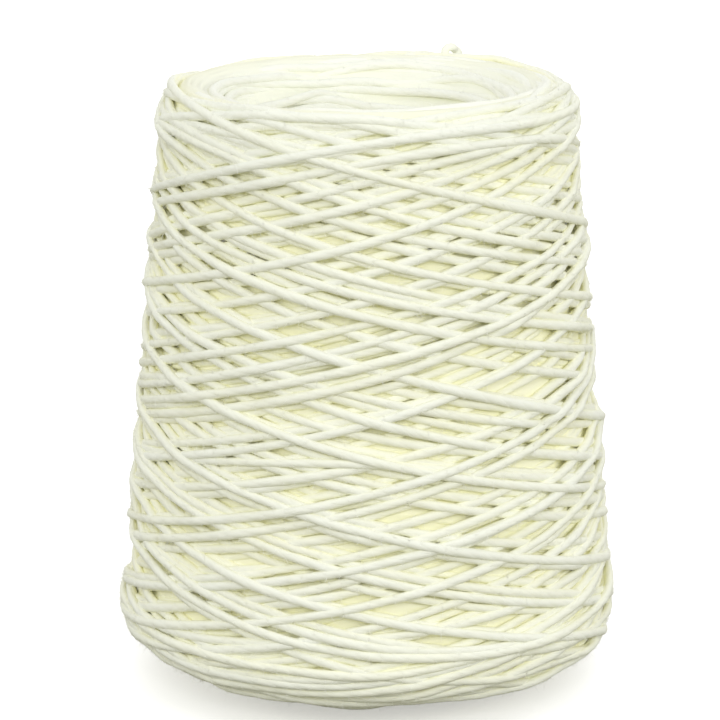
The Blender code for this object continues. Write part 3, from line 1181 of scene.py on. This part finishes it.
# the core: a board wall between a paper cover and a kraft liner
corePaper = {
    "wallDepths": (0.0008, 0.0026),    # under the cover's outside
    "coverDepths": (0.0, 0.0005),
    "linerDepths": (0.0029, 0.0034),
    "setback": 0.0012,
    "length": 0.143,
    "baseRadius": 0.031,
    "columns": 220,
    "rimRound": 0.0009,            # the wall's nose
    "straight": (0.0006, 0.0012),      # the wall's sides start this far from its foot and nose
    "footBevel": ((0.0, 0.0004), (0.0002, 0.0001), (0.0004, 0.0)),
    "plies": 5,
    "lap": 0.00016,                # the step at the cover's free edge
    "scores": 6,                   # rings pressed into the cover near the nose
    "scoreStart": 0.006,
    "scorePitch": 0.0022,
    "scoreDepth": 0.00022,
    "scoreWidth": 0.00035,
}


def makePaperFibres():
    # flecks and fibres of paper board
    group, given, made = newGroup(
        "paperFibres",
        {"Base": (0.6, 0.5, 0.4, 1.0), "Fleck": (0.3, 0.25, 0.2, 1.0),
         "Fleck Amount": 0.3, "Fibre Length": 5.0},
        {"Color": "NodeSocketColor", "Height": "NodeSocketFloat"})
    place = group.nodes.new("ShaderNodeTexCoord")
    stretch = group.nodes.new("ShaderNodeVectorMath")
    stretch.operation = "MULTIPLY"
    group.links.new(place.outputs["Object"], stretch.inputs[0])
    group.links.new(addVector(group, 1.0, 1.0, given["Fibre Length"]), stretch.inputs[1])
    fibre = addNoise(group, stretch.outputs[0], 900.0, 5.0, 0.7)
    cloud = addNoise(group, place.outputs["Object"], 60.0, 3.0, 0.5)
    fleck = addNoise(group, stretch.outputs[0], 2300.0, 2.0, 0.5)
    spot = addMath(group, "GREATER_THAN", fleck, 0.66)
    fine, coarse = addMath(group, "MULTIPLY", fibre, 0.5), addMath(group, "MULTIPLY", cloud, 0.3)
    shade = addMath(group, "ADD", fine, coarse)
    share = addMath(group, "MULTIPLY", addMath(group, "ADD", shade, spot), given["Fleck Amount"])
    group.links.new(addMix(group, share, given["Base"], given["Fleck"]), made["Color"])
    group.links.new(addMath(group, "ADD", fibre, addMath(group, "MULTIPLY", cloud, 0.6)), made["Height"])
    return group


paperFibres = makePaperFibres()


def paperMaterial(name, base, fleck, amount, roughness, bumpDistance):
    material, tree, shader = newMaterial(name, {"Roughness": roughness, "Specular IOR Level": 0.35})
    paper = addGroup(tree, paperFibres, {
        "Base": (*base, 1.0), "Fleck": (*fleck, 1.0), "Fleck Amount": amount, "Fibre Length": 0.25})
    tree.links.new(paper["Color"], shader["Base Color"])
    addBump(tree, shader, paper["Height"], 0.5, bumpDistance)
    return material


def coreRadius(height, depth):
    slant = depth / math.cos(math.atan(coreSlope))
    return corePaper["baseRadius"] - height * coreSlope - slant


def lapStep(turn, lapTurn, thickness):
    # the free edge of the rolled sheet: a step along one line that fades out round the cone
    past = (turn - lapTurn) % math.tau
    return thickness * np.exp(-past / 0.5) * np.clip(past / 0.02, 0.0, 1.0)


def buildShell(name, outside, inside, material, lap):
    # rings of (depth, height) down the outside, round the rim and up the inside
    columns = corePaper["columns"]
    turn = np.arange(columns) / columns * math.tau
    loop = outside + inside
    rings = []
    for i, (depth, height) in enumerate(loop):
        step = lapStep(turn, 0.9 + 2.2 * height, lap) if i < len(outside) else -lapStep(turn, 2.6, lap)
        rings.append(roundAxis(turn, coreRadius(height, depth) + step, height))
    quads = ringGrid(len(rings), columns)[:, [0, 3, 2, 1]]
    return buildMesh(name, [np.concatenate(rings)], [quads], material)


def wallRings():
    near, far = corePaper["wallDepths"]
    length, rim, bevel = corePaper["length"], corePaper["rimRound"], corePaper["footBevel"]
    low, high = corePaper["straight"][0], length - corePaper["straight"][1]
    middle, half = (near + far) / 2, (far - near) / 2
    quarter = np.linspace(0, math.pi / 2, 8)
    outside = [(middle - half * math.sin(a), length - rim * (1 - math.cos(a))) for a in quarter]
    outside += [(near, height) for height in np.linspace(high, low, 110)[1:]]
    outside += [(near + inset, height) for inset, height in bevel]
    inside = []
    for ply in range(corePaper["plies"]):
        # the cut plies show at the base rim
        depth = near + 0.0004 + (far - near - 0.0008) * (ply + 0.5) / corePaper["plies"]
        inside += [(depth - 0.00008, 0.0), (depth, 0.00012), (depth + 0.00008, 0.0)]
    inside += [(far - inset, height) for inset, height in bevel[::-1]]
    inside += [(far, height) for height in np.linspace(low, high, 60)]
    inside += [(middle + half * math.cos(a), length - rim * (1 - math.sin(a))) for a in quarter[1:-1]]
    return outside, inside


def scoreDepth(height, high):
    groove = 0.0
    for ring in range(corePaper["scores"]):
        score = high - corePaper["scoreStart"] - corePaper["scorePitch"] * ring
        groove += corePaper["scoreDepth"] * math.exp(-((height - score) / corePaper["scoreWidth"]) ** 2)
    return groove


def paperRings(depths, scored):
    low, high = corePaper["setback"], corePaper["length"] - corePaper["setback"]
    near, far = depths
    outside = [(near + 0.00015, high)]
    for height in np.linspace(high - 0.0002, low + 0.0002, 400 if scored else 90):
        outside.append((near + (scoreDepth(height, high) if scored else 0.0), height))
    outside.append((near + 0.00012, low))
    inside = [(far - 0.00008, low)]
    inside += [(far, height) for height in np.linspace(low + 0.0002, high - 0.0002, 40)]
    inside.append((far - 0.00008, high))
    return outside, inside


boardPaper = paperMaterial("boardPaper", (0.47, 0.40, 0.30), (0.24, 0.20, 0.15), 0.55, 0.88, 0.00012)
coverPaper = paperMaterial("coverPaper", (0.80, 0.775, 0.70), (0.52, 0.47, 0.38), 0.35, 0.62, 0.00006)
linerPaper = paperMaterial("linerPaper", (0.55, 0.43, 0.29), (0.33, 0.25, 0.16), 0.5, 0.85, 0.00010)

coreWall = buildShell("coreWall", *wallRings(), boardPaper, 0.0)
coverRings = paperRings(corePaper["coverDepths"], True)
coreCover = buildShell("coreCover", *coverRings, coverPaper, corePaper["lap"])
coreLiner = buildShell("coreLiner", *paperRings(corePaper["linerDepths"], False), linerPaper, 0.0)
rideOn(coreWall, "core", "core_board", "core_wall")
rideOn(coreCover, "core", "core_cover_paper", "core_cover")
rideOn(coreLiner, "core", "core_liner_paper", "core_liner")
print("core built")

visualLow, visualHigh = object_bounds()
for label, corner in (("low", visualLow), ("high", visualHigh)):
    print("visual box", label, [round(float(value) * 1000, 1) for value in corner])
